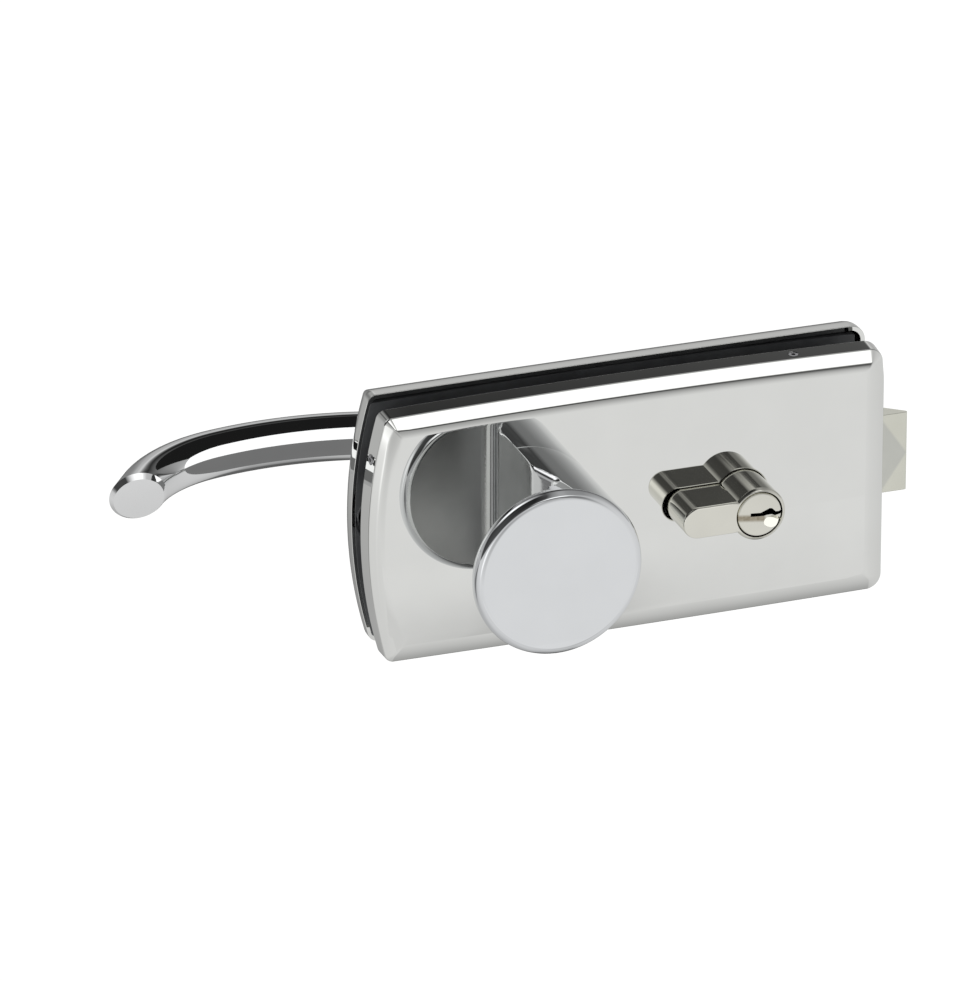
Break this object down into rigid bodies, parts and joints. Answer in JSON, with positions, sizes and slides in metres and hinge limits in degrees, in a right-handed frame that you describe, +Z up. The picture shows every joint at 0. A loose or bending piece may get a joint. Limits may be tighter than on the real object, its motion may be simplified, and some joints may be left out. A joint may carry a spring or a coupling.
{
  "type": "glass door lock",
  "caption": "Clamp-on lock for a frameless glass door: a pull knob and key cylinder in front, a round-bar lever behind, and a sprung one-sided latch.",
  "frame": {"origin": "where the spindle axis crosses the middle of the glass", "axes": "+X along the lock towards the latch, +Y through the door towards the lever side (the knob and key side is -Y), +Z up"},
  "size_m": [0.2388, 0.1284, 0.0816],
  "materials": {
    "polished_chrome": "mirror polished plating",
    "satin_nickel": "fine satin nickel plating with a slight yellow tint",
    "latch_nickel": "smooth plated, lightly rubbed",
    "zinc_steel": "zinc plated pressed steel",
    "plate_steel": "plain milled steel",
    "screw_steel": "zinc plated machine screws",
    "sleeve_metal": "turned",
    "gasket_rubber": "matt moulded",
    "pin_brass": "turned",
    "spring_steel": "drawn wire"
  },
  "bodies": {
    "lock": {"front_cover": "polished_chrome", "back_cover": "polished_chrome", "front_plate": "plate_steel", "back_plate": "plate_steel", "front_gasket": "gasket_rubber", "back_gasket": "gasket_rubber", "knob_spacer": "sleeve_metal", "knob": "polished_chrome", "knob_screws": "screw_steel", "lock_case": "zinc_steel", "case_lid": "zinc_steel", "case_lid_screws": "screw_steel", "clamp_screws": "screw_steel", "left_sleeve": "sleeve_metal", "left_clamp_screw": "screw_steel", "cover_grub_screws": "screw_steel", "back_cover_screws": "screw_steel", "lever_bush": "polished_chrome", "bush_screws": "screw_steel", "cylinder_body": "satin_nickel", "cylinder_screw": "screw_steel", "driver_pins": "pin_brass", "pin_springs": "spring_steel", "pin_plugs": "pin_brass", "latch_spring": "spring_steel", "hub_spring": "spring_steel"},
    "handle": {"hub": "zinc_steel", "spindle": "zinc_steel", "lever": "polished_chrome", "lever_set_screw": "screw_steel"},
    "latch": {"latch_bolt": "latch_nickel"},
    "front_rotor": {"front_plug": "satin_nickel", "front_key_pins": "pin_brass", "front_clip": "spring_steel"},
    "cam_body": {"cam": "zinc_steel"},
    "rear_rotor": {"rear_plug": "satin_nickel", "rear_key_pins": "pin_brass", "rear_clip": "spring_steel"}
  },
  "joints": [
    {"name": "handle_turn", "type": "hinge", "parent": "lock", "child": "handle", "pos_m": [0, 0, 0], "axis": [0, -1, 0], "range_deg": [0, 40], "stiffness_Nm_per_rad": 0.6, "springref_deg": -57.3, "deforming": ["hub_spring"]},
    {"name": "latch_slide", "type": "slide", "parent": "lock", "child": "latch", "axis": [-1, 0, 0], "range_m": [0, 0.01126], "stiffness_N_per_m": 300, "springref_m": -0.012, "deforming": ["latch_spring"]},
    {"name": "key_turn", "type": "hinge", "parent": "lock", "child": "front_rotor", "pos_m": [0.0714, 0, 0], "axis": [0, -1, 0], "continuous": true},
    {"name": "cam_turn", "type": "hinge", "parent": "lock", "child": "cam_body", "pos_m": [0.0714, 0, 0], "axis": [0, -1, 0], "continuous": true},
    {"name": "rear_key_turn", "type": "hinge", "parent": "lock", "child": "rear_rotor", "pos_m": [0.0714, 0, 0], "axis": [0, -1, 0], "continuous": true}
  ],
  "couplings": [
    {"joint": "latch_slide", "follows": "handle_turn", "m_per_rad": 0.01611},
    {"joint": "cam_turn", "follows": "key_turn", "ratio": 1}
  ]
}
